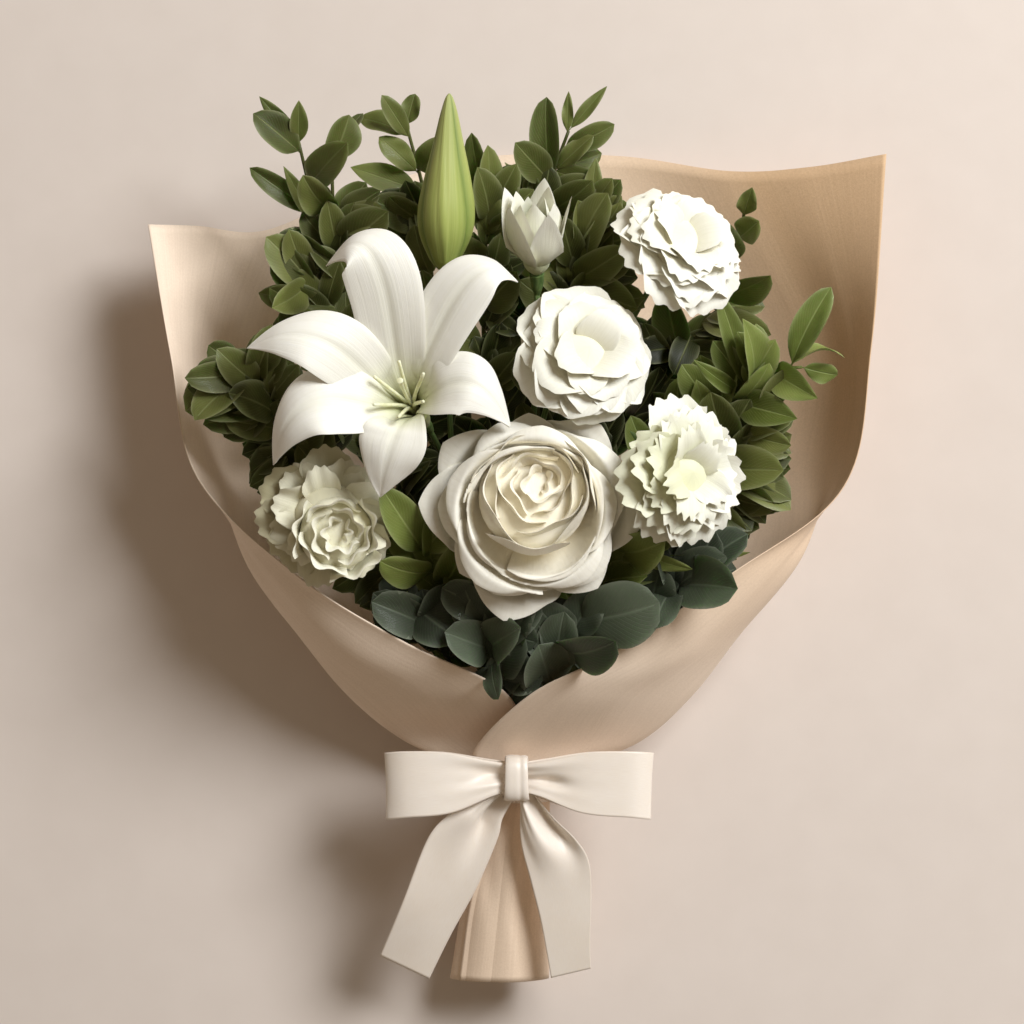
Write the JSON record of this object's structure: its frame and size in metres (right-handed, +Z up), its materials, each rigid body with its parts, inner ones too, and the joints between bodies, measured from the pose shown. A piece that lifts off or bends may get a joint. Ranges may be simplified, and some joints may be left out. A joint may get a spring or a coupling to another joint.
{
  "type": "flower bouquet",
  "caption": "Hand-tied bouquet of white flowers and green foliage in a kraft paper cone with a ribbon bow, lying on its back.",
  "frame": {"origin": "on the surface it lies on, under the middle of its outline", "axes": "+X to the right as the flowers are seen, +Y from the stem ends to the flower tips, +Z up from the surface"},
  "size_m": [0.4135, 0.5034, 0.171],
  "materials": {
    "kraft_paper": "matt kraft paper",
    "cream_ribbon": "cream satin ribbon",
    "twine": "jute twine",
    "white_petal": "soft matt petal",
    "ivory_petal": "soft matt petal",
    "filament": "smooth filament",
    "bud_green": "smooth bud",
    "stem_green": "green stem",
    "ruscus_leaf": "waxy leaf",
    "sage_leaf": "blue-green waxy leaf",
    "fresh_leaf": "soft green leaf"
  },
  "bodies": {
    "root": {"kraft_paper": "kraft_paper", "ribbon_bow": "cream_ribbon", "stem_tie": "twine", "rose_bloom": "white_petal", "rose_stem": "stem_green", "lily_bloom": "white_petal", "lily_stamens": "filament", "lily_bud": "bud_green", "lily_stem": "stem_green", "rosebud_bloom": "white_petal", "rosebud_stem": "stem_green", "carnation_upper": "white_petal", "carnation_upper_stem": "stem_green", "peony_bloom": "white_petal", "peony_stem": "stem_green", "carnation_lower": "white_petal", "carnation_lower_stem": "stem_green", "cream_bloom": "ivory_petal", "cream_stem": "stem_green", "ruscus_far_left": "ruscus_leaf", "ruscus_left": "ruscus_leaf", "ruscus_mid": "ruscus_leaf", "bud_leaves": "ruscus_leaf", "ruscus_top": "ruscus_leaf", "round_leaf_spray": "ruscus_leaf", "right_upper_spray": "ruscus_leaf", "right_spray": "fresh_leaf", "right_low_spray": "ruscus_leaf", "strap_leaf_spray": "fresh_leaf", "left_upper_spray": "ruscus_leaf", "left_spray": "ruscus_leaf", "centre_leaves": "fresh_leaf", "eucalyptus_left": "sage_leaf", "eucalyptus_centre": "sage_leaf", "eucalyptus_right": "sage_leaf", "eucalyptus_far_right": "sage_leaf"}
  },
  "joints": []
}
